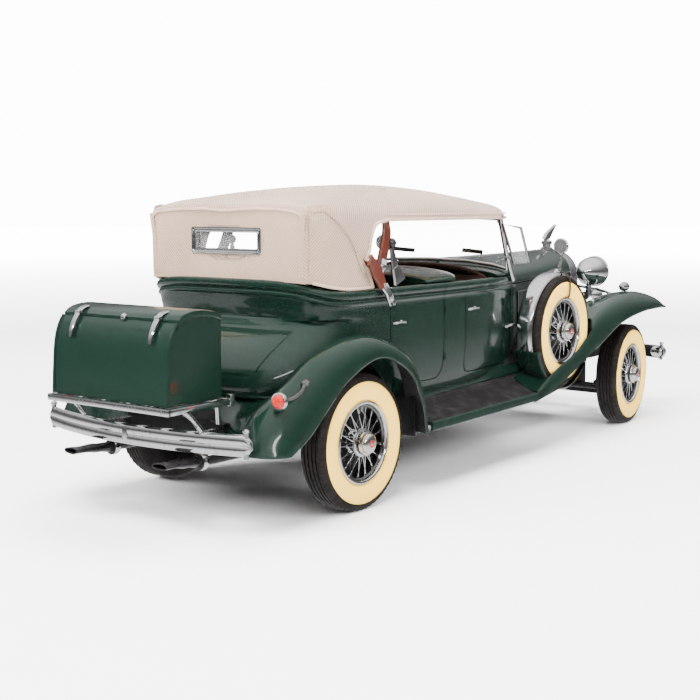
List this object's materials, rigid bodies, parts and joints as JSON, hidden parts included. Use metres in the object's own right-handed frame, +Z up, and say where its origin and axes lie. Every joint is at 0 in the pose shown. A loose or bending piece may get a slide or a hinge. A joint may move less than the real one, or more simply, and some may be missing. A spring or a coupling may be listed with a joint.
{
  "type": "diecast collector car",
  "caption": "Scale model of an early-1930s open touring car with a raised canvas top, side-mounted spare wheels, a rear trunk, and opening doors and hood.",
  "frame": {"origin": "on the ground at the middle of the model's length and width", "axes": "+X to the car's right side, +Y forward, +Z up"},
  "size_m": [0.0782, 0.251, 0.0822],
  "materials": {
    "body_paint": "gloss dark green enamel",
    "chrome": "bright plating",
    "tyre": "matt black with cream sidewall",
    "canvas": "beige woven canvas",
    "leather": "rust brown",
    "wood": "varnished reddish brown",
    "chassis_black": "satin black",
    "gloss_black": "gloss black",
    "grey_steel": "dark grey",
    "matting": "ribbed black matting",
    "red_lens": "red lens",
    "clear_glass": "clear"
  },
  "bodies": {
    "car": {"body_tub": "body_paint", "canvas_top": "canvas", "chassis_frame": "chassis_black", "cowl": "body_paint", "engine": "grey_steel", "exhaust_left": "grey_steel", "exhaust_right": "grey_steel", "floor_pan": "matting", "front_axle": "chassis_black", "front_bumper": "chrome", "front_fender_left": "body_paint", "front_fender_right": "body_paint", "front_seat": "leather", "headlamp_left": "chrome", "headlamp_right": "chrome", "hood_side_left": "body_paint", "hood_side_right": "body_paint", "luggage_rack": "chrome", "main_bow": "wood", "radiator_shell": "chrome", "rear_axle": "chassis_black", "rear_bow": "wood", "rear_bumper": "chrome", "rear_fender_left": "body_paint", "rear_fender_right": "body_paint", "rear_seat": "leather", "running_board_left": "matting", "running_board_right": "matting", "spare_cover_left": "chrome", "spare_cover_right": "chrome", "spare_tyre_left": "tyre", "spare_tyre_right": "tyre", "spare_wheel_left": "chrome", "spare_wheel_right": "chrome", "steering_column": "gloss_black", "tail_lamp_left": "red_lens", "tail_lamp_right": "red_lens", "tonneau_cowl": "body_paint", "trunk_body": "body_paint", "windscreen_frame": "chrome", "windscreen_glass": "clear_glass"},
    "steering_wheel": {"steering_wheel": "gloss_black"},
    "tie_rod": {"tie_rod": "grey_steel"},
    "trunk_lid": {"trunk_lid": "body_paint"},
    "door_front_right": {"door_front_right": "body_paint"},
    "door_rear_right": {"door_rear_right": "body_paint"},
    "hood_top_right": {"hood_top_right": "body_paint"},
    "knuckle_right": {"knuckle_right": "grey_steel"},
    "wheel_front_right": {"wheel_front_right": "chrome", "tyre_front_right": "tyre"},
    "wheel_rear_right": {"wheel_rear_right": "chrome", "tyre_rear_right": "tyre"},
    "door_front_left": {"door_front_left": "body_paint"},
    "door_rear_left": {"door_rear_left": "body_paint"},
    "hood_top_left": {"hood_top_left": "body_paint"},
    "knuckle_left": {"knuckle_left": "grey_steel"},
    "wheel_front_left": {"wheel_front_left": "chrome", "tyre_front_left": "tyre"},
    "wheel_rear_left": {"wheel_rear_left": "chrome", "tyre_rear_left": "tyre"}
  },
  "joints": [
    {"name": "wheel_rear_right_spin", "type": "hinge", "parent": "car", "child": "wheel_rear_right", "pos_m": [0.032, -0.072, 0.0174], "axis": [1, 0, 0], "continuous": true},
    {"name": "steer_right", "type": "hinge", "parent": "car", "child": "knuckle_right", "pos_m": [0.026, 0.0857, 0.0174], "axis": [0, 0, 1], "range_deg": [-30.4, 19.6]},
    {"name": "wheel_front_right_spin", "type": "hinge", "parent": "knuckle_right", "child": "wheel_front_right", "pos_m": [0.03197, 0.08626, 0.0174], "axis": [0.9956, 0.0941, 0], "continuous": true},
    {"name": "door_front_right_swing", "type": "hinge", "parent": "car", "child": "door_front_right", "pos_m": [0.02925, 0.0078, 0.042], "axis": [0, 0, 1], "range_deg": [0, 65]},
    {"name": "door_rear_right_swing", "type": "hinge", "parent": "car", "child": "door_rear_right", "pos_m": [0.0314, -0.028, 0.042], "axis": [0, 0, 1], "range_deg": [0, 65]},
    {"name": "hood_right_lift", "type": "hinge", "parent": "car", "child": "hood_top_right", "pos_m": [0, 0.0507, 0.05965], "axis": [0, -0.9999, -0.0172], "range_deg": [0, 50]},
    {"name": "wheel_rear_left_spin", "type": "hinge", "parent": "car", "child": "wheel_rear_left", "pos_m": [-0.032, -0.072, 0.0174], "axis": [1, 0, 0], "continuous": true},
    {"name": "steer_left", "type": "hinge", "parent": "car", "child": "knuckle_left", "pos_m": [-0.026, 0.0857, 0.0174], "axis": [0, 0, 1], "range_deg": [-30.4, 19.6]},
    {"name": "wheel_front_left_spin", "type": "hinge", "parent": "knuckle_left", "child": "wheel_front_left", "pos_m": [-0.03197, 0.08514, 0.0174], "axis": [0.9956, 0.0941, 0], "continuous": true},
    {"name": "door_front_left_swing", "type": "hinge", "parent": "car", "child": "door_front_left", "pos_m": [-0.02925, 0.0078, 0.042], "axis": [0, 0, -1], "range_deg": [0, 65]},
    {"name": "door_rear_left_swing", "type": "hinge", "parent": "car", "child": "door_rear_left", "pos_m": [-0.0314, -0.028, 0.042], "axis": [0, 0, -1], "range_deg": [0, 65]},
    {"name": "hood_left_lift", "type": "hinge", "parent": "car", "child": "hood_top_left", "pos_m": [0, 0.0507, 0.05965], "axis": [0, 0.9999, 0.0172], "range_deg": [0, 50]},
    {"name": "trunk_lid_lift", "type": "hinge", "parent": "car", "child": "trunk_lid", "pos_m": [0, -0.1063, 0.0504], "axis": [-1, 0, 0], "range_deg": [0, 75]},
    {"name": "steering_wheel_turn", "type": "hinge", "parent": "car", "child": "steering_wheel", "pos_m": [-0.012, -0.004, 0.0495], "axis": [0, -0.7761, 0.6306], "range_deg": [-92, 59.5]},
    {"name": "tie_rod_slide", "type": "slide", "parent": "car", "child": "tie_rod", "axis": [1, 0, 0], "range_m": [-0.0048, 0.0031]}
  ],
  "couplings": [
    {"joint": "steer_left", "follows": "steer_right", "ratio": 1},
    {"joint": "tie_rod_slide", "follows": "steer_right", "m_per_rad": 0.009},
    {"joint": "steering_wheel_turn", "follows": "steer_right", "ratio": 3}
  ]
}
